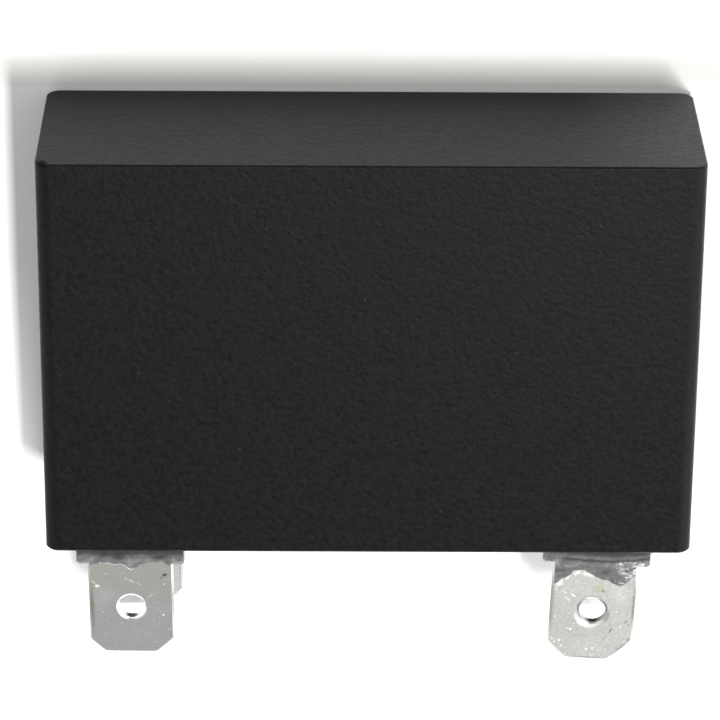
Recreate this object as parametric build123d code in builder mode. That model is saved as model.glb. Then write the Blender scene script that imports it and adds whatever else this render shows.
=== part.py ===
"""Box-type motor run capacitor with two double push-on tabs, in millimetres.

The capacitor lies on its large back face, as it does on a table. The origin is the middle
of that face, +Z points up through the thickness to the front face, +Y points to the closed
end of the moulded case and the tabs come out towards -Y.

A flattened roll of metallised film stands in the case. Its two ends are sprayed with metal.
A wire is soldered to each end and runs up to a terminal, and resin fills the case round
everything to just below the rim. Each terminal is one strip bent to a U, with its web under
the resin and a tab on each of its two legs.
"""

import os
from itertools import product
from math import radians, tan

from build123d import *

# Case: a moulded box, open at the end where the tabs come out
case_width = 47.0
case_depth = 30.4
case_thickness = 14.4
wall = 1.3
closed_end_wall = 1.5
core_draft_deg = 0.5
corner_radius = 1.0
inside_radius = 0.8
closed_edge_radius = 0.15
rim_bevel = 0.15

# Cradle: two ribs inside the closed end that hold the roll clear of it
cradle_lift = 0.8
cradle_height = 3.2
cradle_rib = 1.0
cradle_inset = 7.0
cradle_clearance = 0.15

# Roll of film, its plain outer wrap and the metal sprayed on its ends
film_wrap = 0.25
roll_side_gap = 0.3
core_slit = 0.3
spray = 0.7
spray_bevel = 0.25
wire_room = 2.1

# Terminals: a strip bent to a U, each leg ending in a 6.3 by 0.8 tab above its shoulders
strip = 0.8
strip_bend_radius = 0.8
across_legs = 9.2
web_depth = 3.0
web_hole = 1.3
shoulder_width = 8.0
shoulder_height = 2.5
shoulder_radius = 0.3
tab_width = 6.3
tab_length = 8.0
tab_tip_radius = 0.6
tab_bevel = 0.15
latch_hole = 2.0
latch_hole_bevel = 0.15
latch_hole_from_tip = 4.1

# Where each terminal stands, how much deeper it was set, how much is cut off the corners of
# its tabs at -X and +X, and how far it is out of true, in degrees: the whole terminal turned
# about its own axis, and its front leg and back leg pressed in and leaning to +X
from_case_side = {"left": 6.05, "right": 6.3}
set_deeper = {"left": 0.0, "right": 0.2}
tip_cut = {"left": (1.1, 1.35), "right": (1.35, 1.75)}
turned = {"left": 1.0, "right": 2.4}
pressed_in = {"left": (6.3, -1.6), "right": (0.0, 1.1)}
leaning = {"left": (0.2, 1.4), "right": (-2.2, 0.6)}

# Wires and their solder joints
wire = 0.8
wire_bend = 0.6
wire_off_spray = 0.1
wire_space = 2.5
wire_tail = 0.9
spray_joint_length = 6.0
spray_joint_width = 3.2
spray_joint_height = 1.3
spray_joint_slope = 0.8
web_joint_width = 2.8
web_joint_crown = 1.4
web_joint_height = 0.6

# Resin: poured to just below the rim, drawn up the walls and up each leg
resin_recess = 1.0
meniscus = 0.5
meniscus_edge = 0.1
collar_spread = 0.45
collar_feather = 0.12
collar_root = 0.4
collar_height = {"left": 1.5, "right": 3.2}

# Places that follow from the sizes above, with depths measured from the closed end
middle = case_thickness / 2
draft_per_mm = tan(radians(core_draft_deg))
mouth_width = case_width - 2 * wall
mouth_thickness = case_thickness - 2 * wall
cavity_narrowing = 2 * (case_depth - closed_end_wall) * draft_per_mm
resin_level = case_depth - resin_recess
roll_low = closed_end_wall + cradle_lift
roll_high = case_depth - web_depth - strip - wire_space
roll_middle = (roll_low + roll_high) / 2
wrap_height = roll_high - roll_low
wrap_thickness = mouth_thickness - cavity_narrowing - 2 * roll_side_gap
winding_height = wrap_height - 2 * film_wrap
winding_thickness = wrap_thickness - 2 * film_wrap
film_width = mouth_width - cavity_narrowing - 2 * (spray + wire_room)
spray_face = film_width / 2 + spray
wire_line = spray_face + wire_off_spray + wire / 2
leg_middle = (across_legs - strip) / 2
bend_top = web_depth - strip_bend_radius
tab_reach = shoulder_height + tab_length

# The draw plane lies on the closed end's outside and faces the opening
draw = Plane(origin=(0, case_depth / 2, middle), x_dir=(1, 0, 0), z_dir=(0, -1, 0))
sides = {"left": -1, "right": 1}
legs = (1, -1)

os.makedirs("parts", exist_ok=True)


def save(piece, name):
    """Label a finished piece and write it to its own file."""
    piece.part.label = name
    export_step(piece.part, f"parts/{name}.step")


def cavity_section(depth):
    """Section of the drafted cavity at one depth."""
    narrower = 2 * (case_depth - depth) * draft_per_mm
    with BuildSketch(draw.offset(depth)) as section:
        RectangleRounded(mouth_width - narrower, mouth_thickness - narrower, inside_radius)
    return section.sketch


def roll_section(height, thickness, x):
    """Flattened round section of the roll, square to its axis."""
    with BuildSketch(Plane.YZ.offset(x)) as section:
        with Locations((case_depth / 2 - roll_middle, middle)):
            SlotOverall(height, thickness)
    return section.sketch


def bend(corner, back, onwards):
    """Ends of the short slanting run that takes a wire round one corner."""
    corner = Vector(corner)
    return corner + Vector(back) * wire_bend, corner + Vector(onwards) * wire_bend


def terminal_seat(side):
    """Plane of one terminal at the rim: x across the tabs, y to the front, z outwards."""
    x = sides[side] * (case_width / 2 - from_case_side[side])
    y = set_deeper[side] - case_depth / 2
    upright = Plane(origin=(x, y, middle), x_dir=(1, 0, 0), z_dir=(0, -1, 0))
    return Plane(upright.location * Rotation(0, 0, turned[side]))


def leg_seat(side, leg):
    """Plane of one leg at the rim, leg 0 in front and leg 1 behind, axes as for the terminal."""
    way = legs[leg]
    place = Location((0, way * leg_middle, 0), (way * pressed_in[side][leg], 0, 0))
    return Plane(terminal_seat(side).location * place)


def half_terminal(side, leg):
    """Half the web with one of the two legs."""
    seat, own, way = terminal_seat(side), leg_seat(side, leg), legs[leg]
    facing = Plane(own.origin, x_dir=own.x_dir, z_dir=-own.y_dir)
    slope = tan(radians(pressed_in[side][leg]))
    half_strip, half_tab, cut = shoulder_width / 2, tab_width / 2, tip_cut[side]

    def leaned(x, y):
        """Point of the leg's outline once the leg leans from the top of its bend."""
        pivot = Vector(0, -bend_top)
        return (Vector(x, y) - pivot).rotate(Axis.Z, -leaning[side][leg]) + pivot

    with BuildPart() as half:
        # Bent strip, seen from its edge
        with BuildSketch(Plane(seat.origin, x_dir=seat.y_dir * way, z_dir=seat.x_dir * way)):
            with BuildLine():
                web_level, above_tip = -web_depth - strip / 2, tab_reach + strip
                FilletPolyline(
                    (0, web_level),
                    (leg_middle - slope * web_level, web_level),
                    (leg_middle - slope * above_tip, above_tip),
                    radius=strip_bend_radius + strip / 2,
                )
            trace(line_width=strip)
        extrude(amount=shoulder_width, both=True)

        # Cut to the blank's outline, seen square to the leg
        with BuildSketch(facing) as outline:
            with BuildLine():
                Polyline(
                    (-half_strip, -web_depth - 2 * strip),
                    (half_strip, -web_depth - 2 * strip),
                    (half_strip, -bend_top),
                    leaned(half_strip, shoulder_height),
                    leaned(half_tab, shoulder_height),
                    leaned(half_tab, tab_reach - cut[1]),
                    leaned(half_tab - cut[1], tab_reach),
                    leaned(cut[0] - half_tab, tab_reach),
                    leaned(-half_tab, tab_reach - cut[0]),
                    leaned(-half_tab, shoulder_height),
                    leaned(-half_strip, shoulder_height),
                    (-half_strip, -bend_top),
                    close=True,
                )
            make_face()
            shoulders = outline.vertices().sort_by(Axis.Y)[4:8].sort_by(Axis.X)
            fillet([shoulders[0], shoulders[-1]], shoulder_radius)
            fillet(outline.vertices().sort_by(Axis.Y)[-4:], tab_tip_radius)
        extrude(amount=across_legs, both=True, mode=Mode.INTERSECT)

        # Bevel round the tab that leads the receptacle on
        outwards = Axis(own.origin, own.z_dir)
        around = half.edges().filter_by_position(outwards, shoulder_height + strip, above_tip)
        chamfer(around - around.filter_by(Axis(own.origin, own.y_dir)), tab_bevel)

        # Latch hole, bevelled on both faces
        with BuildSketch(facing):
            with Locations(leaned(0, tab_reach - latch_hole_from_tip)):
                Circle(latch_hole / 2)
        extrude(amount=across_legs, both=True, mode=Mode.SUBTRACT)
        hole_edges = half.edges(Select.LAST).filter_by(GeomType.CIRCLE)
        chamfer(hole_edges, latch_hole_bevel)
    return half.part


# Cradle ribs: moulded with the case
with BuildPart() as cradle:
    with BuildSketch(draw.offset(closed_end_wall / 2)):
        with GridLocations(film_width - 2 * cradle_inset, 0, 2, 1):
            Rectangle(cradle_rib, case_thickness - wall)
    extrude(amount=closed_end_wall / 2 + cradle_height)
    roll_room = roll_section(
        wrap_height + 2 * cradle_clearance, wrap_thickness + 2 * cradle_clearance, -case_width / 2
    )
    extrude(roll_room, amount=case_width, mode=Mode.SUBTRACT)

# Case: straight outside, drafted inside so that the core draws out
with BuildPart() as case:
    with BuildSketch(draw):
        RectangleRounded(case_width, case_thickness, corner_radius)
    extrude(amount=case_depth)
    fillet(case.faces().sort_by(Axis.Y)[-1].edges(), closed_edge_radius)
    loft([cavity_section(closed_end_wall), cavity_section(case_depth)], mode=Mode.SUBTRACT)
    chamfer(case.faces().sort_by(Axis.Y)[0].outer_wire().edges(), rim_bevel)
    add(cradle.part)
save(case, "case")

# Film winding: metallised film rolled on a mandrel and pressed flat when it is taken off,
# so that only a slit is left where the mandrel was
winding_outline = roll_section(winding_height, winding_thickness, -film_width / 2)
slit = roll_section(winding_height - winding_thickness, core_slit, -film_width / 2)
with BuildPart() as film_winding:
    extrude(winding_outline, amount=film_width)
    extrude(slit, amount=film_width, mode=Mode.SUBTRACT)
save(film_winding, "film_winding")

# Outer wrap: turns of plain film that hold the winding shut
roll_outline = roll_section(wrap_height, wrap_thickness, -film_width / 2)
with BuildPart() as outer_wrap:
    extrude(roll_outline, amount=film_width)
    extrude(winding_outline, amount=film_width, mode=Mode.SUBTRACT)
save(outer_wrap, "outer_wrap")

# Everything on the left side and on the right side that the resin is cast round
embedded = []
for side, way in sides.items():
    seat = terminal_seat(side)
    web_top = seat.offset(-web_depth)
    outside = Plane(origin=(way * spray_face, 0, middle), x_dir=(0, -1, 0), z_dir=(way, 0, 0))

    # End spray: the contact over the edges of all the turns
    with BuildPart() as end_spray:
        start = roll_section(wrap_height, wrap_thickness, way * film_width / 2)
        extrude(start, amount=way * spray)
        outer_face = end_spray.faces().sort_by(Axis.X, reverse=way < 0)[-1]
        chamfer(outer_face.edges(), spray_bevel)
    save(end_spray, f"end_spray_{side}")

    # Lead wire: up beside the roll, across to the terminal and through its web
    under_web = seat.offset(-web_depth - strip - wire_space / 2).origin
    with BuildPart() as lead_wire:
        with BuildLine() as run:
            Polyline(
                (way * wire_line, case_depth / 2 - roll_middle, middle),
                *bend((way * wire_line, under_web.Y, middle), (0, 1, 0), (-way, 0, 0)),
                *bend(under_web, (way, 0, 0), web_top.z_dir),
                web_top.offset(wire_tail).origin,
            )
        with BuildSketch(Plane(origin=run.line @ 0, z_dir=run.line % 0)):
            Circle(wire / 2)
        sweep(transition=Transition.RIGHT)
    save(lead_wire, f"lead_wire_{side}")

    # Solder that holds the wire to the spray
    with BuildPart() as spray_solder:
        for rise, inset in ((0, 0), (spray_joint_height, spray_joint_slope)):
            with BuildSketch(outside.offset(rise)):
                with Locations((roll_middle - case_depth / 2, 0)):
                    SlotOverall(spray_joint_length - 2 * inset, spray_joint_width - 2 * inset)
        loft()
        add(lead_wire.part, mode=Mode.SUBTRACT)
    save(spray_solder, f"spray_solder_{side}")

    # Terminal: the two legs and the wire's hole through the web between them
    with BuildPart() as terminal:
        add([half_terminal(side, leg) for leg in (0, 1)])
        with BuildSketch(web_top):
            Circle(web_hole / 2)
        extrude(amount=-strip, mode=Mode.SUBTRACT)
    save(terminal, f"terminal_{side}")

    # Solder through the web's hole and over it
    with BuildPart() as web_solder:
        with BuildSketch(web_top):
            Circle(web_joint_width / 2)
        with BuildSketch(web_top.offset(web_joint_height)):
            Circle(web_joint_crown / 2)
        loft()
        with BuildSketch(web_top):
            Circle(web_hole / 2)
        extrude(amount=-strip)
        add(lead_wire.part, mode=Mode.SUBTRACT)
    save(web_solder, f"web_solder_{side}")

    embedded += [piece.part for piece in (end_spray, lead_wire, spray_solder, terminal, web_solder)]

# Potting resin: fills the case, hollow at the walls and climbing each leg a little
with BuildPart() as potting_resin:
    loft([cavity_section(closed_end_wall), cavity_section(resin_level + meniscus)])
    with BuildSketch(draw.offset(resin_level)):
        RectangleRounded(mouth_width - 2 * meniscus, mouth_thickness - 2 * meniscus, inside_radius)
    with BuildSketch(draw.offset(resin_level + meniscus)):
        RectangleRounded(
            mouth_width - 2 * meniscus_edge, mouth_thickness - 2 * meniscus_edge, inside_radius
        )
    loft(mode=Mode.SUBTRACT)
    for side, leg in product(sides, (0, 1)):
        own = leg_seat(side, leg)
        with BuildSketch(own.offset(-resin_recess - collar_root)):
            Rectangle(shoulder_width + 2 * collar_spread, strip + 2 * collar_spread)
        with BuildSketch(own.offset(collar_height[side] - resin_recess)):
            Rectangle(shoulder_width + 2 * collar_feather, strip + 2 * collar_feather)
        loft()
    extrude(roll_outline, amount=film_width, mode=Mode.SUBTRACT)
    add([cradle.part, *embedded], mode=Mode.SUBTRACT)
save(potting_resin, "potting_resin")
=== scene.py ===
import math

import bpy
import numpy as np
from mathutils import Matrix, Vector, noise


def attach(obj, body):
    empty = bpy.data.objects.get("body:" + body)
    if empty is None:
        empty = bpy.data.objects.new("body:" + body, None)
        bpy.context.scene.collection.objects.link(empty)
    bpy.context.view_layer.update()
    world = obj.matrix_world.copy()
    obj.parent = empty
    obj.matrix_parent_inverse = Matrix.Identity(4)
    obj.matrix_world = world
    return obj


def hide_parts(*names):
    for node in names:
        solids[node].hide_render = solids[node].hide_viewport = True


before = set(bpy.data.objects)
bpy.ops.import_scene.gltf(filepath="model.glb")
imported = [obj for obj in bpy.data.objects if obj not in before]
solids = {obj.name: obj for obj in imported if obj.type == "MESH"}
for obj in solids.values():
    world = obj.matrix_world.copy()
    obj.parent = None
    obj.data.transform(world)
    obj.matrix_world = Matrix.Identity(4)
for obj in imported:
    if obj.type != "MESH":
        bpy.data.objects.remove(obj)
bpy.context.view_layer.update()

# Film winding and its outer wrap
# Two films of polypropylene, each with a layer of aluminium too thin to feel, are rolled
# together and pressed flat. A few turns of plain film close the roll.
MM = 0.001


def new_finish(name, base, roughness, metallic=0.0):
    """A material with its shader's even values set on the shader itself."""
    material = bpy.data.materials.new(name)
    material.use_nodes = True
    shader = material.node_tree.nodes["Principled BSDF"]
    shader.inputs["Base Color"].default_value = (*base, 1)
    shader.inputs["Roughness"].default_value = roughness
    shader.inputs["Metallic"].default_value = metallic
    return material, material.node_tree, shader


def put(tree, kind, sockets=None, **settings):
    """One node: its settings, then a value or another node's output for each socket."""
    made = tree.nodes.new(kind)
    for key, value in settings.items():
        setattr(made, key, value)
    for key, value in (sockets or {}).items():
        if isinstance(value, bpy.types.NodeSocket):
            tree.links.new(value, made.inputs[key])
        else:
            made.inputs[key].default_value = value
    return made


def place_on(tree, stretch=(1, 1, 1), turn=(0, 0, 0)):
    """Object coordinates in millimetres, stretched or turned for a pattern."""
    here = put(tree, "ShaderNodeTexCoord").outputs["Object"]
    scale = [s / MM for s in stretch]
    return put(tree, "ShaderNodeMapping", {"Vector": here, "Scale": scale, "Rotation": turn}).outputs[0]


def noise_of(tree, vector, detail, scale=1.0):
    """Cloudy noise from 0 to 1 over a vector."""
    sockets = {"Vector": vector, "Scale": scale, "Detail": detail}
    return put(tree, "ShaderNodeTexNoise", sockets).outputs[0]


def graded(tree, value, low, high, to_low=0.0, to_high=1.0):
    """A value spread from one range over another."""
    sockets = {"Value": value, "From Min": low, "From Max": high, "To Min": to_low, "To Max": to_high}
    return put(tree, "ShaderNodeMapRange", sockets).outputs[0]


def two_tone(tree, share, first, second):
    """Two colours mixed by a mask."""
    mix = put(tree, "ShaderNodeMix", data_type="RGBA")
    for socket, value in ((mix.inputs[0], share), (mix.inputs[6], first), (mix.inputs[7], second)):
        if isinstance(value, bpy.types.NodeSocket):
            tree.links.new(value, socket)
        else:
            socket.default_value = (*value, 1) if isinstance(value, tuple) else value
    return mix.outputs[2]


def raise_by(tree, shader, height, distance_mm):
    """Bump from a height mask, added to whatever already feeds the shader's normal."""
    sockets = {"Height": height, "Distance": distance_mm * MM, "Strength": 1.0}
    earlier = shader.inputs["Normal"].links
    if earlier:
        sockets["Normal"] = earlier[0].from_socket
    tree.links.new(put(tree, "ShaderNodeBump", sockets).outputs[0], shader.inputs["Normal"])


def dress(node, finish):
    """Gives a CAD solid its finish."""
    mesh = solids[node].data
    mesh.materials.clear()
    mesh.materials.append(finish)


winding_finish, tree, shader = new_finish("metallised film", (0.62, 0.63, 0.65), 0.3, 1.0)
turns = noise_of(tree, place_on(tree, (0.15, 6, 6)), 5.0)
colour = two_tone(tree, graded(tree, turns, 0.3, 0.7), (0.5, 0.51, 0.53), (0.7, 0.71, 0.72))
tree.links.new(colour, shader.inputs["Base Color"])
tree.links.new(graded(tree, turns, 0.3, 0.7, 0.22, 0.4), shader.inputs["Roughness"])
raise_by(tree, shader, turns, 0.02)
dress("film_winding", winding_finish)

wrap_finish, tree, shader = new_finish("plain film", (0.8, 0.8, 0.74), 0.18)
creases = noise_of(tree, place_on(tree, (0.3, 1.5, 1.5)), 3.0)
colour = two_tone(tree, graded(tree, creases, 0.35, 0.65), (0.7, 0.7, 0.63), (0.85, 0.85, 0.8))
tree.links.new(colour, shader.inputs["Base Color"])
raise_by(tree, shader, creases, 0.03)
dress("outer_wrap", wrap_finish)

# End sprays
# Zinc is melted and blown on both ends of the roll, so it is a grainy grey crust that
# grips the edge of every turn.


def reckon(tree, operation, *values):
    """One step of arithmetic on numbers and masks."""
    return put(tree, "ShaderNodeMath", dict(enumerate(values)), operation=operation).outputs[0]


def open_group(name, vectors, values, result):
    """An empty node group with its named inputs, and the nodes where they come in and go out."""
    group = bpy.data.node_groups.new(name, "ShaderNodeTree")
    face = group.interface
    for title in vectors:
        face.new_socket(title, in_out="INPUT", socket_type="NodeSocketVector")
    for title, value in values.items():
        face.new_socket(title, in_out="INPUT", socket_type="NodeSocketFloat").default_value = value
    for title in result:
        face.new_socket(title, in_out="OUTPUT", socket_type="NodeSocketFloat")
    return group, put(group, "NodeGroupInput").outputs, put(group, "NodeGroupOutput").inputs


def grain_group():
    """Grainy surface: sizes in millimetres, out come a fine grain and broad clouds."""
    sizes = {"Grain": 0.3, "Cloud": 3.0, "Seed": 0.0}
    group, come, go = open_group("grain and clouds", ["Vector"], sizes, ["Grain", "Cloud"])
    for name, detail in (("Grain", 3.0), ("Cloud", 4.0)):
        per_mm = reckon(group, "DIVIDE", 1.0, come[name])
        sockets = {"Vector": come["Vector"], "W": come["Seed"], "Scale": per_mm, "Detail": detail}
        cloud = put(group, "ShaderNodeTexNoise", sockets, noise_dimensions="4D").outputs[0]
        group.links.new(graded(group, cloud, 0.3, 0.7), go[name])
    return group


grain_and_clouds = grain_group()


def grainy(tree, grain, cloud=3.0, seed=0.0):
    """The grain and cloud masks at one material's own sizes."""
    sockets = {"Vector": place_on(tree), "Grain": grain, "Cloud": cloud, "Seed": seed}
    made = put(tree, "ShaderNodeGroup", sockets, node_tree=grain_and_clouds)
    return made.outputs["Grain"], made.outputs["Cloud"]


spray_finish, tree, shader = new_finish("sprayed zinc", (0.42, 0.43, 0.45), 0.75, 0.8)
grain, cloud = grainy(tree, 0.25, 2.5, 1.0)
tree.links.new(two_tone(tree, grain, (0.3, 0.31, 0.33), (0.5, 0.51, 0.53)), shader.inputs["Base Color"])
tree.links.new(graded(tree, cloud, 0, 1, 0.6, 0.9), shader.inputs["Roughness"])
raise_by(tree, shader, grain, 0.08)
for side in ("left", "right"):
    dress(f"end_spray_{side}", spray_finish)

# Lead wires and their solder
# Tinned copper wire is soldered to the sprayed zinc and again in the hole of the terminal's
# web, by hand, so each joint is a smooth bright mound.
wire_finish, tree, shader = new_finish("tinned wire", (0.7, 0.69, 0.66), 0.3, 1.0)
grain, cloud = grainy(tree, 0.15, 1.5, 2.0)
colour = two_tone(tree, cloud, (0.62, 0.61, 0.57), (0.76, 0.75, 0.72))
tree.links.new(colour, shader.inputs["Base Color"])
tree.links.new(graded(tree, grain, 0, 1, 0.22, 0.4), shader.inputs["Roughness"])
raise_by(tree, shader, grain, 0.01)

solder_finish, tree, shader = new_finish("solder", (0.64, 0.65, 0.66), 0.2, 1.0)
grain, cloud = grainy(tree, 0.4, 1.2, 3.0)
colour = two_tone(tree, cloud, (0.55, 0.56, 0.58), (0.7, 0.7, 0.71))
tree.links.new(colour, shader.inputs["Base Color"])
tree.links.new(graded(tree, grain, 0, 1, 0.12, 0.32), shader.inputs["Roughness"])
raise_by(tree, shader, cloud, 0.05)
for side in ("left", "right"):
    dress(f"lead_wire_{side}", wire_finish)
    dress(f"spray_solder_{side}", solder_finish)
    dress(f"web_solder_{side}", solder_finish)

# Terminals
# Each is a blank punched from tinned brass strip and bent to a U. Handling and test sockets
# have scratched the tabs, and flux and resin have left stains next to the case. Among the
# marks are painted highlights and painted shade, and the back leg is painted brighter.
HALF_CASE = 23.5
MIDDLE = 7.2
RIM = -15.2
LEG_SPREAD = 4.2
LEAN_FROM = 2.2
HALF_STRIP = 0.4
HALF_SHOULDER = 4.0
from_case_side = {"left": 6.05, "right": 6.3}
set_deeper = {"left": 0.0, "right": 0.2}
terminal_turned = {"left": 1.0, "right": 2.4}
pressed_in = {"left": (6.3, -1.6), "right": (0.0, 1.1)}
leaning = {"left": (0.2, 1.4), "right": (-2.2, 0.6)}


def leg_axes(side, leg):
    """A leg's middle at the rim and its ways across, forward and outward, in millimetres."""
    hand = -1 if side == "left" else 1
    way = 1 if leg == 0 else -1
    across, forward, outward = Vector((1, 0, 0)), Vector((0, 0, 1)), Vector((0, -1, 0))
    turn = Matrix.Rotation(math.radians(terminal_turned[side]), 3, outward)
    across, forward = turn @ across, turn @ forward
    middle = Vector((hand * (HALF_CASE - from_case_side[side]), RIM + set_deeper[side], MIDDLE))
    press = Matrix.Rotation(math.radians(way * pressed_in[side][leg]), 3, across)
    return middle + forward * way * LEG_SPREAD, across, press @ forward, press @ outward


def on_leg(side, leg, x, v, proud=HALF_STRIP):
    """Point of a leg: x across it, v beyond the rim, proud in front of its middle plane."""
    middle, across, forward, outward = leg_axes(side, leg)
    lean = math.tan(math.radians(leaning[side][leg]))
    return middle + across * (x + lean * (v + LEAN_FROM)) + outward * (v - lean * x) + forward * proud


def scratch_group():
    """Fine scratches along X of the vector that comes in, as a mask."""
    sizes = {"Width": 0.1, "Length": 2.0, "Share": 0.3}
    group, come, go = open_group("scratches", ["Vector"], sizes, ["Scratch"])
    across = reckon(group, "DIVIDE", 1.0, come["Width"])
    along = reckon(group, "DIVIDE", 1.0, come["Length"])
    stretch = put(group, "ShaderNodeCombineXYZ", {0: along, 1: across, 2: across}).outputs[0]
    sockets = {0: come["Vector"], 1: stretch}
    drawn = put(group, "ShaderNodeVectorMath", sockets, operation="MULTIPLY").outputs[0]
    start = graded(group, come["Share"], 0, 1, 0.75, 0.45)
    group.links.new(graded(group, noise_of(group, drawn, 2.0), start, 0.8), go["Scratch"])
    return group


def mark_group():
    """One mark on the surface with a soft or hard edge: a stain, a nick, a painted highlight or painted
    shade.
    """
    sizes = {"Radius": 0.2, "Stretch": 1.0, "Slant": 0.0, "Ragged": 0.3, "Soft": 0.6}
    group, come, go = open_group("mark", ["Vector", "Centre"], sizes, ["Mark"])
    sockets = {0: come["Vector"], 1: come["Centre"]}
    away = put(group, "ShaderNodeVectorMath", sockets, operation="SUBTRACT").outputs[0]
    sockets = {"Vector": away, "Angle": come["Slant"]}
    turned = put(group, "ShaderNodeVectorRotate", sockets, rotation_type="Z_AXIS").outputs[0]
    narrow = reckon(group, "DIVIDE", 1.0, come["Stretch"])
    shape = put(group, "ShaderNodeCombineXYZ", {0: narrow, 1: 1.0, 2: 0.3}).outputs[0]
    drawn = put(group, "ShaderNodeVectorMath", {0: turned, 1: shape}, operation="MULTIPLY").outputs[0]
    far = put(group, "ShaderNodeVectorMath", {0: drawn}, operation="LENGTH").outputs["Value"]
    wobble = reckon(group, "ADD", noise_of(group, come["Vector"], 3.0, 5.0), -0.5)
    far = reckon(group, "ADD", far, reckon(group, "MULTIPLY", wobble, come["Ragged"]))
    full = reckon(group, "SUBTRACT", 1.0, come["Soft"])
    inner = reckon(group, "MULTIPLY", come["Radius"], full)
    group.links.new(graded(group, far, come["Radius"], inner), go["Mark"])
    return group


scratches, mark = scratch_group(), mark_group()
pale, white, rubbed = (0.7, 0.7, 0.67), (0.95, 0.95, 0.93), (0.75, 0.75, 0.73)
dark, grey = (0.09, 0.09, 0.075), (0.25, 0.25, 0.24)
stained_y, back_leg_z = (-20.8, -19.0), (6.6, 5.6)


def scratched(tree, slant, width, length, share):
    """Scratches or streaks that run at one slant over the front of the tabs."""
    turned = place_on(tree, turn=(0, 0, math.radians(slant)))
    sockets = {"Vector": turned, "Width": width, "Length": length, "Share": share}
    return put(tree, "ShaderNodeGroup", sockets, node_tree=scratches).outputs[0]


def mark_at(tree, centre, radius, stretch=1.0, slant=0.0, ragged=0.1, soft=0.6):
    """The mask of one mark, its place and size in millimetres."""
    sockets = {"Vector": place_on(tree), "Centre": centre, "Radius": radius, "Stretch": stretch}
    sockets.update({"Slant": math.radians(slant), "Ragged": ragged, "Soft": soft})
    return put(tree, "ShaderNodeGroup", sockets, node_tree=mark).outputs[0]


def marked(tree, colour, centre, radius, tone, strength=1.0, **shape):
    """Lays one mark of another tone over a colour."""
    share = reckon(tree, "MULTIPLY", mark_at(tree, centre, radius, **shape), strength)
    return two_tone(tree, share, colour, tone)


def in_millimetres(tree):
    """X, Y and Z of the place on the surface."""
    return put(tree, "ShaderNodeSeparateXYZ", {"Vector": place_on(tree)}).outputs


def tinned_strip(side, seed, marks, dull, bright, behind, stain, stain_share):
    """Tinned brass strip: duller clouds, scratches, a stain, marks (some painted light) and a back leg
    painted brighter.
    """
    material, tree, shader = new_finish(f"tinned strip, {side}", bright, 0.26, 1.0)
    grain, cloud = grainy(tree, 0.16, 1.6, seed)
    colour = two_tone(tree, cloud, dull, bright)
    colour = two_tone(tree, graded(tree, grain, 0.75, 1.0, 0, 0.2), colour, rubbed)
    here = in_millimetres(tree)
    wavy = reckon(tree, "ADD", here[1], cloud)
    colour = two_tone(tree, graded(tree, wavy, *stained_y, 0, stain_share), colour, stain)
    fine = scratched(tree, 28, 0.05, 1.4, 0.35)
    bold = scratched(tree, -62, 0.07, 1.8, 0.2)
    colour = two_tone(tree, graded(tree, fine, 0, 1, 0, 0.2), colour, rubbed)
    colour = two_tone(tree, graded(tree, bold, 0, 1, 0, 0.15), colour, grey)
    # Painted light: the back leg is painted brighter than the front leg, as if more lit.
    colour = two_tone(tree, graded(tree, here[2], *back_leg_z, 0, 0.9), colour, behind)
    for leg, x, v, radius, tone, *more in marks:
        shape = more[0] if more else {}
        colour = marked(tree, colour, on_leg(side, leg, x, v), radius, tone, **shape)
    tree.links.new(colour, shader.inputs["Base Color"])
    tree.links.new(graded(tree, grain, 0, 1, 0.24, 0.3), shader.inputs["Roughness"])
    raise_by(tree, shader, grain, 0.0012)
    return material


# Painted light among the marks: the white ones are painted highlights, that is glints on the tin, in and
# round the holes and along the resin's edge. The long dark and grey lines along the tab edges and tips,
# and the dark rings round the right hole, are painted shade.
# Each mark: leg (0 front, 1 back), x across, v beyond the rim, radius, tone and its shape
left_marks = [
    (0, -2.0, 5.4, 1.5, (0.43, 0.43, 0.43), dict(stretch=0.8, strength=0.6, ragged=0.9, soft=1.0)),
    (0, -3.0, 6.3, 0.3, (0.15, 0.15, 0.115), dict(stretch=11, slant=89, strength=0.75, soft=0.8)),
    (0, 3.08, 6.2, 0.1, (0.15, 0.15, 0.14), dict(stretch=30, slant=89, strength=0.7)),
    (1, 3.12, 6.2, 0.26, grey, dict(stretch=18, slant=89, strength=0.9)),
    (1, 2.75, 9.9, 0.16, grey, dict(stretch=5, slant=-45, strength=0.8)),
    (0, -0.02, 6.27, 1.13, white, dict(soft=0.06, ragged=0.05)),
    (0, -0.02, 6.38, 1.1, white, dict(soft=0.06, ragged=0.05)),
    (0, 2.5, 3.47, 0.17, dark, dict(stretch=1.5, slant=-35)),
    (0, 2.24, 3.74, 0.13, (0.15, 0.15, 0.12), dict(strength=0.6)),
    (0, -2.52, 4.51, 0.16, white, dict(stretch=1.4, strength=0.9)),
    (0, -2.81, 4.16, 0.08, pale, dict(stretch=3.5, slant=42, strength=0.7)),
    (0, -0.36, 3.86, 0.11, pale, dict(strength=0.8)),
    (0, 0.08, 4.04, 0.08, pale, dict(stretch=4.0, slant=28)),
    (0, 0.6, 4.3, 0.07, pale, dict(stretch=5.0, slant=32, strength=0.5)),
    (0, 2.45, 4.28, 0.11, pale, dict(strength=0.8)),
    (0, 2.34, 7.08, 0.11, white),
    (0, 1.42, 5.33, 0.08, pale, dict(stretch=4.5, slant=-38, strength=0.6)),
    (0, -1.82, 3.43, 0.12, pale, dict(strength=0.4)),
    (0, -0.77, 7.84, 0.1, pale, dict(strength=0.4)),
    (0, 0.26, 8.2, 0.08, pale, dict(strength=0.5)),
    (0, -2.15, 6.86, 0.1, pale, dict(strength=0.4)),
    (0, 2.79, 8.35, 0.11, pale, dict(strength=0.5)),
]
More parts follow.
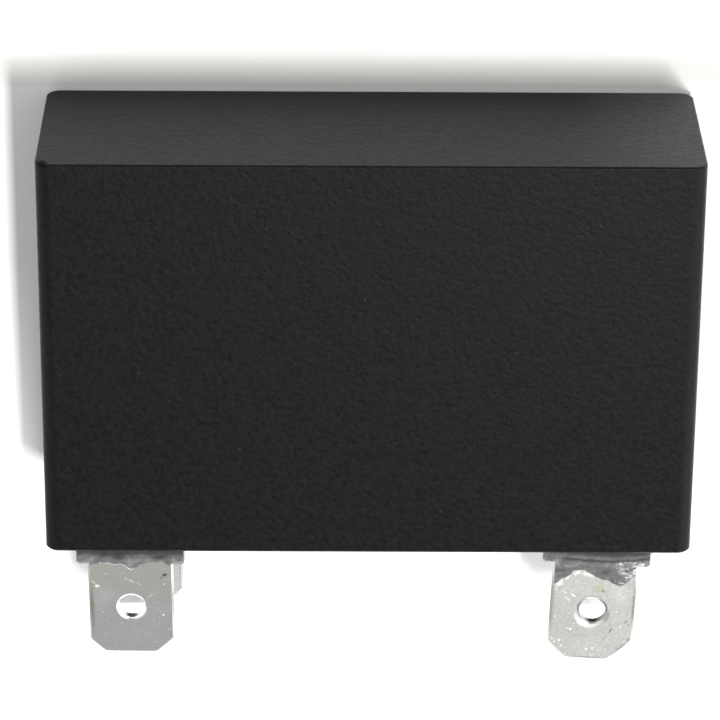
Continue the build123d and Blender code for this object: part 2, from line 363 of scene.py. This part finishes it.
right_marks = [
    (0, 3.06, 5.9, 0.17, (0.13, 0.13, 0.12), dict(stretch=18, slant=92, strength=0.9)),
    (0, -3.06, 6.0, 0.16, (0.13, 0.13, 0.12), dict(stretch=19, slant=92, strength=0.85)),
    (0, -0.1, 10.4, 0.17, (0.16, 0.16, 0.15), dict(stretch=11, slant=2, strength=0.85)),
    (0, 2.22, 9.56, 0.17, (0.13, 0.13, 0.12), dict(stretch=8, slant=-45, strength=0.85)),
    (0, -2.95, 6.2, 0.2, (0.36, 0.36, 0.34), dict(stretch=15, slant=92, strength=0.6, soft=0.8)),
    (0, -0.25, 6.78, 1.12, white, dict(soft=0.22, ragged=0.25, strength=0.85)),
    (0, -0.02, 6.36, 1.25, (0.3, 0.3, 0.29), dict(soft=0.1, ragged=0.08, strength=0.8)),
    (0, -0.02, 6.38, 1.1, (0.2, 0.2, 0.195), dict(soft=0.05, ragged=0.06)),
    (0, -0.05, 5.38, 0.14, white, dict(stretch=4.5, slant=0, soft=0.5)),
    (0, 1.08, 6.8, 0.3, (0.18, 0.18, 0.18), dict(stretch=2.2, slant=-68, strength=0.6)),
    (0, 0.68, 4.67, 0.16, (0.16, 0.16, 0.1), dict(stretch=1.4, slant=30, strength=0.7)),
    (0, 0.3, 4.5, 0.55, (0.45, 0.45, 0.3), dict(strength=0.5, ragged=0.4)),
    (0, -1.51, 5.15, 0.08, white, dict(stretch=4.0, slant=38)),
    (0, -1.85, 5.51, 0.07, white, dict(stretch=4.0, slant=38, strength=0.8)),
    (0, -2.1, 5.0, 0.06, white, dict(stretch=5.0, slant=38, strength=0.5)),
    (0, 1.44, 8.0, 0.08, dark, dict(stretch=4.0, slant=-62, strength=0.7)),
    (0, 1.1, 8.6, 0.06, grey, dict(stretch=5.0, slant=-50, strength=0.5)),
    (0, 2.57, 7.17, 0.12, dark, dict(stretch=1.8, slant=-40, strength=0.5)),
    (0, 2.81, 7.41, 0.09, dark, dict(strength=0.5)),
    (0, 2.83, 8.68, 0.22, dark, dict(strength=0.35)),
    (0, -1.53, 8.03, 0.12, white, dict(strength=0.9)),
    (0, -0.23, 9.65, 0.12, white, dict(strength=0.8)),
    (0, 0.21, 9.53, 0.1, white, dict(strength=0.8)),
    (0, 0.67, 9.67, 0.09, white, dict(strength=0.8)),
    (0, -2.29, 9.02, 0.12, white, dict(strength=0.9)),
    (0, -2.85, 8.9, 0.1, white, dict(strength=0.7)),
    (0, -2.65, 9.17, 0.1, white, dict(strength=0.7)),
    (0, -2.1, 9.45, 0.1, white, dict(strength=0.7)),
    (0, -1.74, 7.95, 0.09, white, dict(strength=0.6)),
    (0, -1.3, 7.55, 0.09, white, dict(strength=0.5)),
    (0, -2.72, 7.01, 0.1, white, dict(strength=0.5)),
    (0, 1.77, 6.37, 0.1, white, dict(strength=0.5)),
    (0, 1.61, 7.31, 0.08, white, dict(strength=0.5)),
    (0, 2.15, 7.62, 0.1, white, dict(strength=0.5)),
    (0, 1.9, 4.9, 1.0, (0.62, 0.62, 0.61), dict(strength=0.4, ragged=0.6, soft=0.9)),
    (0, -0.5, 3.35, 0.25, white, dict(stretch=2.6, slant=14, strength=0.7, ragged=0.3, soft=0.9)),
    (0, -1.35, 3.3, 0.22, white, dict(stretch=1.6, slant=-30, strength=0.7, ragged=0.4, soft=0.9)),
    (0, -1.95, 3.7, 0.2, white, dict(stretch=1.8, slant=-40, strength=0.6, ragged=0.4, soft=0.9)),
    (0, -2.55, 4.25, 0.25, white, dict(stretch=1.7, slant=-40, strength=0.9, ragged=0.4, soft=0.8)),
]
# The behind tone is the back leg's, painted brighter as if more lit.
left_tones = {
    "dull": (0.328, 0.328, 0.328), "bright": (0.352, 0.352, 0.35), "behind": (0.53, 0.53, 0.52),
    "stain": (0.35, 0.355, 0.32), "stain_share": 0.7,
}
right_tones = {
    "dull": (0.443, 0.445, 0.423), "bright": (0.51, 0.512, 0.49), "behind": (0.7, 0.7, 0.69),
    "stain": (0.46, 0.46, 0.42), "stain_share": 0.2,
}
# The left strip is dressed darker all over than the right: partly duller tin, partly painted shade for
# its tilted front leg.
dress("terminal_left", tinned_strip("left", 4.0, left_marks, **left_tones))
dress("terminal_right", tinned_strip("right", 5.0, right_marks, **right_tones))

# Case
# Moulded in one shot of dark flame-retardant polyester, open where the tabs come out. The
# mould's spark-eroded faces left it an even, very fine grain. Handling has left a few pale
# specks and has chipped one corner of the closed end.
CLOSED_END = 15.2
case_finish, tree, shader = new_finish("moulded case", (0.002, 0.002, 0.002), 0.48)
shader.inputs["Specular IOR Level"].default_value = 0.0795
grain = grainy(tree, 0.38, seed=9.0)[0]
fine = grainy(tree, 0.24, seed=10.0)[0]
drawn = graded(tree, noise_of(tree, place_on(tree, (0.12, 1.2, 2.2)), 4.0), 0.3, 0.7, -0.4, 0.4)
on_end = graded(tree, in_millimetres(tree)[1], CLOSED_END - 0.2, CLOSED_END - 0.05, 0.1, 1)
mottle = reckon(tree, "ADD", grain, fine)
mottle = reckon(tree, "ADD", mottle, reckon(tree, "MULTIPLY", drawn, on_end))
colour = two_tone(tree, graded(tree, mottle, 0.4, 1.6), (0.0, 0.0, 0.0), (0.0046, 0.0046, 0.0046))
cells = put(tree, "ShaderNodeTexVoronoi", {"Vector": place_on(tree), "Scale": 0.55}).outputs
chance = put(tree, "ShaderNodeSeparateColor", {"Color": cells["Color"]}).outputs[0]
speck = graded(tree, cells["Distance"], 0.085, 0.03)
speck = reckon(tree, "MULTIPLY", speck, graded(tree, chance, 0.55, 0.75, 0, 0.5))
colour = two_tone(tree, speck, colour, (0.035, 0.035, 0.035))
tree.links.new(colour, shader.inputs["Base Color"])
chip = mark_at(tree, (-23.0, CLOSED_END, 14.3), 0.24, stretch=2.2, ragged=0.3)
torn = reckon(tree, "MAXIMUM", chip, graded(tree, grain, 0, 1, 0.38, 0.5))
tree.links.new(torn, shader.inputs["Roughness"])
raise_by(tree, shader, grain, 0.0125)
raise_by(tree, shader, fine, 0.004)
raise_by(tree, shader, graded(tree, chip, 0, 1, 1, 0), 0.25)
dress("case", case_finish)

# Potting resin
# Dark epoxy is poured into the case to just below its rim. It wets the walls, so its level
# is hollow along them, and it sets glossy with a slight ripple.
RESIN_RECESS = 1.0
INSIDE_CORNER = 0.8
CAVITY_FLOOR = 13.69
wall_half = (22.18, 5.88)
floor_half = (21.93, 5.63)
wall_rise, wall_reach = 0.45, 0.28
leg_rise, leg_reach = 0.55, 0.45
ripple = 0.05


def closed_mesh(name, verts, faces, finish, tones=None):
    """A smooth-shaded piece of potting made from points in millimetres."""
    mesh = bpy.data.meshes.new(name)
    mesh.from_pydata([tuple(c * MM for c in v) for v in verts], [], faces)
    if tones:
        mesh.attributes.new("tone", "FLOAT", "POINT").data.foreach_set("value", tones)
    mesh.materials.append(finish)
    mesh.shade_smooth()
    piece = bpy.data.objects.new(name, mesh)
    bpy.context.scene.collection.objects.link(piece)
    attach(piece, "root")
    return piece


resin_finish, tree, shader = new_finish("cast resin", (0.03, 0.03, 0.032), 0.22)
grain, cloud = grainy(tree, 0.5, 4.0, 6.0)
colour = two_tone(tree, cloud, (0.02, 0.02, 0.021), (0.04, 0.04, 0.041))
tree.links.new(colour, shader.inputs["Base Color"])
tree.links.new(graded(tree, cloud, 0, 1, 0.16, 0.32), shader.inputs["Roughness"])
raise_by(tree, shader, cloud, 0.06)
raise_by(tree, shader, grain, 0.01)
feet = []
for side in ("left", "right"):
    for leg in (0, 1):
        feet.append((on_leg(side, leg, 0, -RESIN_RECESS, 0), math.radians(terminal_turned[side])))


def resin_height(x, z):
    """How far the set resin stands above its level: hollow at the walls, risen at the legs."""
    to_wall = min(wall_half[0] - abs(x), wall_half[1] - abs(z))
    rise = wall_rise * math.exp(-max(to_wall, 0) / wall_reach)
    for foot, turn in feet:
        dx, dz = x - foot.x, z + MIDDLE - foot.z
        along = dx * math.cos(turn) + dz * math.sin(turn)
        beside = dz * math.cos(turn) - dx * math.sin(turn)
        gap = math.hypot(max(abs(along) - HALF_SHOULDER, 0), max(abs(beside) - HALF_STRIP, 0))
        rise += leg_rise * math.exp(-gap / leg_reach)
    return rise + ripple * noise.noise(Vector((x / 5, z / 3, 1.7)))


# The open surface, finer towards the walls, then its sides and floor down in the case
rows = [math.sin(math.pi / 2 * s) for s in np.linspace(-1, 1, 49)]
columns = [math.copysign(1 - (1 - abs(s)) ** 1.6, s) for s in np.linspace(-1, 1, 161)]
verts, faces = [], []
for row in rows:
    z = wall_half[1] * row
    into_corner = max(abs(z) - (wall_half[1] - INSIDE_CORNER), 0)
    round_off = math.sqrt(max(INSIDE_CORNER**2 - into_corner**2, 0))
    reach = wall_half[0] - INSIDE_CORNER + round_off
    for column in columns:
        x = reach * column
        verts.append((x, RIM + RESIN_RECESS - resin_height(x, z), z + MIDDLE))
wide, high = len(columns), len(rows)
for j in range(high - 1):
    for i in range(wide - 1):
        a = j * wide + i
        faces.append((a, a + 1, a + wide + 1, a + wide))
edge = [*range(wide), *[j * wide + wide - 1 for j in range(1, high)]]
edge += [(high - 1) * wide + i for i in range(wide - 2, -1, -1)]
edge += [j * wide for j in range(high - 2, 0, -1)]
start = len(verts)
for k in edge:
    x, _, z = verts[k]
    z_in = (z - MIDDLE) * floor_half[1] / wall_half[1] + MIDDLE
    verts.append((x * floor_half[0] / wall_half[0], CAVITY_FLOOR, z_in))
for k in range(len(edge)):
    n = (k + 1) % len(edge)
    faces.append((edge[n], edge[k], start + k, start + n))
faces.append([start + k for k in range(len(edge))])
potting = closed_mesh("potting", verts, faces, resin_finish)
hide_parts("potting_resin")

# Resin drawn up the terminals
# Before it set, the resin crept up each strip: first a dark thick collar, then a thin grey
# skin with a ragged edge that dips and runs where flux let it wet the tin.
COLLAR_BULGE = 0.42
SKIN_FROM = 0.8
SKIN_HALF = 3.92
TAB_EDGE = 2.98
SHOULDER_TOP = 2.42
SHOULDER_END, SHOULDER_END_TOP = 3.75, 2.3
creep_finish, tree, shader = new_finish("crept resin", (0.035, 0.035, 0.036), 0.35)
shader.inputs["Specular IOR Level"].default_value = 0.4
grain, cloud = grainy(tree, 0.3, 1.2, 7.0)
colour = two_tone(tree, cloud, (0.018, 0.018, 0.019), (0.05, 0.05, 0.052))
tree.links.new(colour, shader.inputs["Base Color"])
tree.links.new(graded(tree, grain, 0, 1, 0.25, 0.5), shader.inputs["Roughness"])
raise_by(tree, shader, grain, 0.02)

skin_finish, tree, shader = new_finish("resin skin", (0.13, 0.13, 0.135), 0.45)
shader.inputs["Specular IOR Level"].default_value = 0.25
grain, cloud = grainy(tree, 0.2, 0.9, 8.0)
tone = put(tree, "ShaderNodeAttribute", attribute_name="tone").outputs["Fac"]
streaks = graded(tree, scratched(tree, 60, 0.14, 1.0, 0.4), 0, 1, 0, 0.1)
stirred = reckon(tree, "ADD", graded(tree, cloud, 0, 1, -0.05, 0.05), tone)
stirred = reckon(tree, "ADD", streaks, stirred)
ramp = put(tree, "ShaderNodeValToRGB", {"Fac": stirred})
stops = ramp.color_ramp.elements
for place in (0.25, 0.5, 0.75):
    stops.new(place)
# The palest stops carry the painted glints and the painted edge highlight.
for stop, level in zip(stops, (0.02, 0.045, 0.15, 0.37, 0.92)):
    stop.color = (level, level, level * 1.02, 1)
tree.links.new(ramp.outputs[0], shader.inputs["Base Color"])
tree.links.new(graded(tree, grain, 0, 1, 0.35, 0.6), shader.inputs["Roughness"])
raise_by(tree, shader, grain, 0.006)


def shell(name, outer, inner, ring, finish, tones=None):
    """Closes two matching grids of points into one thin piece, joined round if it is a ring."""
    high, wide = len(outer), len(outer[0])
    verts = [p for row in outer for p in row] + [p for row in inner for p in row]
    back = high * wide
    faces = []
    steps = range(wide if ring else wide - 1)
    for j in range(high - 1):
        for i in steps:
            a, b = j * wide + i, j * wide + (i + 1) % wide
            faces.append((a, b, b + wide, a + wide))
            faces.append((back + b, back + a, back + a + wide, back + b + wide))
    for i in steps:
        a, b = i, (i + 1) % wide
        faces.append((b, a, back + a, back + b))
        a, b = a + (high - 1) * wide, b + (high - 1) * wide
        faces.append((a, b, back + b, back + a))
    if not ring:
        for j in range(high - 1):
            a, b = j * wide, j * wide + wide - 1
            faces.append((a, a + wide, back + a + wide, back + a))
            faces.append((b + wide, b, back + b, back + b + wide))
    return closed_mesh(name, verts, faces, finish, tones + tones if tones else None)


def round_strip(step, steps, out):
    """Point of a rounded rectangle round the shoulders, at one step of its way round."""
    angle = 2 * math.pi * step / steps
    c, s = math.cos(angle), math.sin(angle)
    x = math.copysign(abs(c) ** 0.22, c) * HALF_SHOULDER
    z = math.copysign(abs(s) ** 0.22, s) * HALF_STRIP
    away = Vector((c * 0.5 if abs(x) < HALF_SHOULDER * 0.97 else c, s)).normalized()
    return x + away.x * out, z + away.y * out


def collar(side, leg, top):
    """Thick resin round a leg, from below the level to a wavy top edge."""
    steps, levels = 96, 22
    low = -RESIN_RECESS - 0.4
    outer, inner = [], []
    for j in range(levels):
        t = j / (levels - 1)
        ring_out, ring_in = [], []
        for i in range(steps):
            x0, z0 = round_strip(i, steps, 0)
            limit = top(x0) + 0.12 * noise.noise(Vector((x0 * 1.3, z0 * 3, 5.0 + leg)))
            v = low + t * (limit - low)
            thick = COLLAR_BULGE * math.exp(-(v + RESIN_RECESS) / 0.7) + 0.1 * (1 - t) ** 0.5 + 0.012
            thick *= 1 + 0.35 * noise.noise(Vector((x0 * 0.9, v * 1.6, 3.0 + z0)))
            x1, z1 = round_strip(i, steps, max(0.01, thick))
            ring_out.append(on_leg(side, leg, x1, v, z1))
            x2, z2 = round_strip(i, steps, -0.05)
            ring_in.append(on_leg(side, leg, x2, v, z2))
        outer.append(ring_out)
        inner.append(ring_in)
    piece = shell(f"collar_{side}_{'front' if leg == 0 else 'back'}", outer, inner, True, creep_finish)


def skin_edge(x, leg, face, run):
    """How far a skin reaches at x: its run of points, a little ragged, and never past a shoulder."""
    ragged = 0.06 * noise.noise(Vector((x * 2.3, leg * 7.0 + face, 2.0)))
    ragged += 0.03 * noise.noise(Vector((x * 6, 1.0, 4.0)))
    edge_at = np.interp(x, *zip(*run)) + ragged
    if abs(x) > SHOULDER_END:
        return min(edge_at, SHOULDER_END_TOP)
    return min(edge_at, SHOULDER_TOP) if abs(x) > TAB_EDGE else edge_at


def skin(side, leg, front, run, tone=lambda x, v: 0.5, edge_highlight=lambda x: 0.0):
    """Thin resin on one face of a leg, up to an edge that runs through the given points."""
    way = 1 if front else -1
    outer, inner, tones = [], [], []
    columns = np.linspace(-SKIN_HALF, SKIN_HALF, 181)
    reached = [skin_edge(x, leg, way, run) for x in columns]
    for j in range(36):
        t = 1 - (1 - j / 35) ** 1.3
        row_out, row_in, row_tone = [], [], []
        for x, edge_at in zip(columns, reached):
            v = SKIN_FROM + t * (edge_at - SKIN_FROM)
            thick = 0.035 + 0.015 * noise.noise(Vector((x * 1.2, v * 1.2, 9.0)))
            thick *= min(1.0, (1 - t) * 9) ** 0.5 + 0.08
            row_out.append(on_leg(side, leg, x, v, way * (HALF_STRIP + thick)))
            row_in.append(on_leg(side, leg, x, v, way * (HALF_STRIP - 0.02)))
            # A painted highlight along the skin's ragged edge, as strong as its edge value at x.
            near = math.exp(-(((edge_at - v) / 0.1) ** 2)) * edge_highlight(x)
            row_tone.append(float(min(1, max(0, tone(x, v) + near))))
        outer.append(row_out[::way])
        inner.append(row_in[::way])
        tones += row_tone[::way]
    which = "front" if leg == 0 else "back"
    name = f"skin_{side}_{which}_{'outer' if front == (leg == 0) else 'inner'}"
    piece = shell(name, outer, inner, False, skin_finish, tones)


def blobs(x, v, places):
    """Sum of soft spots, each at (x, v) with a reach across, a reach along and a strength."""
    return sum(s * math.exp(-(((x - a) / ra) ** 2) - (((v - b) / rb) ** 2)) for a, b, ra, rb, s in places)


# The first left spot, broad across the strip next to the case, is painted shade.
left_spots = [
    (0.0, 1.22, 9.0, 0.42, -0.58), (-0.85, 1.85, 0.45, 0.32, -0.3), (-1.9, 1.7, 0.6, 0.2, -0.16),
    (2.05, 1.86, 0.5, 0.17, -0.3), (0.75, 1.8, 0.6, 0.25, 0.1), (-3.35, 1.9, 0.4, 0.35, 0.05),
    (-1.2, 2.45, 0.6, 0.08, -0.16), (3.1, 2.0, 0.3, 0.3, 0.1), (1.3, 2.2, 0.5, 0.1, 0.06),
]
# The strong bright spots towards the right (x above 1.8) are painted glints.
right_spots = [
    (-2.9, 2.35, 0.25, 0.4, 0.14), (-1.3, 2.6, 0.3, 0.3, 0.1), (-2.3, 3.1, 0.5, 0.25, -0.08),
    (0.4, 3.1, 0.6, 0.35, -0.08), (0.7, 2.5, 0.8, 0.2, 0.06), (1.2, 2.3, 0.15, 0.12, -0.1),
    (1.86, 2.36, 0.2, 0.14, 0.4), (1.95, 2.74, 0.22, 0.11, 0.4), (2.12, 3.07, 0.25, 0.1, 0.4),
    (2.32, 2.9, 0.13, 0.12, -0.25), (2.5, 3.4, 0.35, 0.07, 0.35), (2.86, 3.02, 0.16, 0.2, 0.4),
    (3.02, 2.42, 0.3, 0.12, 0.4), (3.4, 2.25, 0.25, 0.14, 0.45), (1.6, 3.4, 0.5, 0.4, -0.06),
    (-3.7, 2.1, 0.2, 0.2, 0.1), (2.4, 2.15, 0.5, 0.07, 0.3), (-2.0, 2.35, 0.2, 0.15, -0.12),
]


def stirred_tone(x, v, places, seed):
    """Tone of a skin: soft spots and a marbled grain that gets finer in two steps."""
    coarse = noise.noise(Vector((x * 1.6 + v, v * 2.4, seed)))
    fine = noise.noise(Vector((x * 4.5, v * 6, seed + 5)))
    return 0.48 + blobs(x, v, places) + 0.12 * coarse + 0.1 * fine


def left_tone(x, v):
    """The left front skin has painted shade next to the case, where it is darkest, and two darker pools.
    """
    return stirred_tone(x, v, left_spots, 2.0)


def right_tone(x, v):
    """The right front skin lies in arched ridges next to the case and has painted glints at its right."""
    crest = 2.18 - 0.035 * max(x - 0.4, 0) ** 2 - 0.01 * min(x, 0) ** 2
    crest += 0.05 * noise.noise(Vector((x * 2, 3.0, 1.0)))
    ridges = -0.3 * math.exp(-(((v - crest) / 0.1) ** 2))
    ridges -= 0.5 * math.exp(-(((v - crest + 0.7) / 0.3) ** 2))
    ridges *= 1 if x > -2.2 else 0.5
    # Painted glints: bright flecks near the right of the skin.
    glints = 0.0
    if x > 1.5 and v > 1.9:
        glints = max(0.0, noise.noise(Vector((x * 3.6, v * 7, 3.0))) - 0.15) * 0.8
    return stirred_tone(x, v, right_spots, 6.0) + ridges + glints


left_run = [
    (-3.9, 2.4), (-3.19, 2.46), (-2.98, 2.73), (-2.39, 2.63), (-2.2, 2.42), (-1.7, 2.5), (-1.15, 2.62),
    (-0.75, 2.5), (-0.45, 2.66), (-0.2, 2.92), (0.04, 3.05), (0.41, 2.87), (0.71, 2.6), (1.31, 2.41),
    (1.83, 2.32), (2.2, 2.31), (2.56, 2.44), (2.78, 2.66), (3.08, 2.57), (3.23, 2.3), (3.9, 2.3),
]
right_run = [
    (-3.9, 4.0), (-3.0, 4.3), (-2.68, 4.15), (-2.55, 3.92), (-2.13, 3.68), (-1.77, 3.4), (-1.64, 3.14),
    (-1.28, 3.04), (-0.84, 3.01), (-0.53, 3.2), (-0.15, 3.38), (0.16, 3.57), (0.61, 3.75), (0.91, 3.73),
    (1.13, 3.8), (1.37, 4.04), (1.83, 4.18), (2.19, 4.07), (2.53, 3.75), (2.73, 3.45), (2.87, 3.27),
    (3.9, 3.1),
]
collar("left", 0, lambda x: 1.4)
collar("left", 1, lambda x: 1.5 + 0.2 * math.sin(x))
collar("right", 0, lambda x: 1.5)
collar("right", 1, lambda x: 1.7 + 0.25 * math.sin(x * 1.3 + 1))
# The left front skin has a painted highlight along its edge, strongest in its middle.
skin("left", 0, True, left_run, left_tone, lambda x: 0.42 if -2.3 < x < 0.3 else 0.12)
skin("right", 0, True, right_run, right_tone)
skin("left", 1, True, [(-3.9, 2.7), (-1, 2.4), (1.5, 2.9), (3.9, 2.2)])
skin("right", 1, True, [(-3.9, 2.5), (-1.5, 2.9), (1, 2.3), (3.9, 2.8)])
skin("left", 0, False, [(-3.9, 2.4), (0, 2.8), (2, 2.3), (3.9, 2.6)])
skin("left", 1, False, [(-3.9, 2.5), (-2, 2.2), (1, 3.0), (3.9, 2.5)])
skin("right", 0, False, [(-3.9, 2.8), (-1, 2.3), (2, 3.1), (3.9, 2.5)])
skin("right", 1, False, [(-3.9, 2.3), (0.5, 2.9), (2, 2.5), (3.9, 2.8)])

# Table
# A plain white sheet that the capacitor lies on. Just behind the case it is painted darker and
# faintly grey-green: painted shade that deepens the shadow there. It keeps the shadow, lifted a
# little by painted light left of the case and round the tabs, and its painted mirror image in
# the case is brighter behind it and towards the right.
SHEET = (0.9, 0.9, 0.9)
SHADE_BEHIND_CASE = (0.77, 0.777, 0.735)
SHADOW_LIFT = 0.25
bpy.ops.mesh.primitive_circle_add(vertices=128, radius=1.5, fill_type="NGON", location=(0, 0, -0.00002))
floor = bpy.context.object
floor.name = "floor"
floor_finish, tree, shader = new_finish("white sheet", SHEET, 0.9)
shader.inputs["Specular IOR Level"].default_value = 0.0
shader.inputs["Emission Color"].default_value = (1, 1, 1, 1)
rays = put(tree, "ShaderNodeLightPath").outputs
here = in_millimetres(tree)
# Painted shade: in a band just behind the case the sheet's colour is darker and faintly grey-green.
shadow_band = reckon(tree, "MULTIPLY", graded(tree, here[1], 15.2, 16.2), graded(tree, here[1], 19, 17.2))
tree.links.new(two_tone(tree, shadow_band, SHEET, SHADE_BEHIND_CASE), shader.inputs["Base Color"])
# Painted reflection: for glossy rays only, the sheet glows more behind the case and towards the right.
behind = graded(tree, here[1], 15.5, 21.0, 0.18, 0.55)
mirrored = reckon(tree, "ADD", behind, graded(tree, here[0], 15.0, 23.0, 0, 0.8))
mirrored = reckon(tree, "MULTIPLY", mirrored, rays["Is Glossy Ray"])
# Painted light: a glow that only the camera sees lifts the shadow left of the case and round the tabs.
beside = graded(tree, here[0], -24.6, -26.2)
shadow_lift_glow = reckon(tree, "MULTIPLY", graded(tree, here[1], 2, -13), beside)
tabs = graded(tree, here[1], -15.0, -16.0, 0, 0.92)
shadow_lift_glow = reckon(tree, "MAXIMUM", shadow_lift_glow, tabs)
shadow_lift_glow = reckon(tree, "MULTIPLY", shadow_lift_glow, rays["Is Camera Ray"])
glow = reckon(tree, "MULTIPLY_ADD", shadow_lift_glow, SHADOW_LIFT, mirrored)
even = graded(tree, rays["Is Diffuse Ray"], 0, 1, 0.05, 0)
glow = reckon(tree, "ADD", glow, even)
tree.links.new(glow, shader.inputs["Emission Strength"])
floor.data.materials.append(floor_finish)

# Light
# One lamp high over the tab end, a little to the right, throws the narrow shadow. It is longer
# than it is wide, and a pale tent, brighter on the right, fills in from all round.
lamp_right, lamp_near, lamp_up = 0.104, 0.053, 0.6
lamp_data = bpy.data.lights.new("lamp", "AREA")
lamp_data.shape = "RECTANGLE"
lamp_data.size, lamp_data.size_y = 0.034, 0.096
lamp_data.energy = 2.75
lamp = bpy.data.objects.new("lamp", lamp_data)
bpy.context.scene.collection.objects.link(lamp)
lamp.location = (lamp_right, -lamp_near, lamp_up)
lamp.rotation_euler = (math.atan(lamp_near / lamp_up), math.atan(lamp_right / lamp_up), 0)

TENT_FILL = 0.6
world = bpy.data.worlds.new("tent")
bpy.context.scene.world = world
world.use_nodes = True
tree = world.node_tree
ground = tree.nodes["Background"]
ground.inputs["Color"].default_value = (1, 1, 1, 1)
rays = put(tree, "ShaderNodeLightPath").outputs
outward = put(tree, "ShaderNodeTexCoord").outputs["Generated"]
way = put(tree, "ShaderNodeSeparateXYZ", {"Vector": outward}).outputs[0]
right_side = graded(tree, way, 0.25, 0.5, 0.95, 4.8)
left_side = graded(tree, way, -0.12, -0.5, 0, 1.1)
mirrored = reckon(tree, "ADD", right_side, left_side)
mirrored = reckon(tree, "SUBTRACT", mirrored, graded(tree, way, 0.78, 0.95, 0, 2.6))
seen = reckon(tree, "MAXIMUM", rays["Is Camera Ray"], rays["Is Transmission Ray"])
level = put(tree, "ShaderNodeMix", {"Factor": rays["Is Glossy Ray"], "A": TENT_FILL, "B": mirrored})
level = put(tree, "ShaderNodeMix", {"Factor": seen, "A": level.outputs[0], "B": 1.0})
tree.links.new(level.outputs[0], ground.inputs["Strength"])

# Camera
# It looks down from beyond the closed end, so the tabs point down in the picture.
lens = bpy.data.cameras.new("camera")
lens.lens = 196.045
lens.sensor_width = 36
lens.clip_start, lens.clip_end = 0.01, 10
camera = bpy.data.objects.new("camera", lens)
bpy.context.scene.collection.objects.link(camera)
camera.rotation_mode = "ZYX"
camera.rotation_euler = [math.radians(a) for a in (-25.185, -0.415, 0.24)]
camera.location = (-0.0027238, 0.1190564, 0.2669057)
bpy.context.scene.camera = camera
bpy.context.scene.view_settings.view_transform = "Standard"
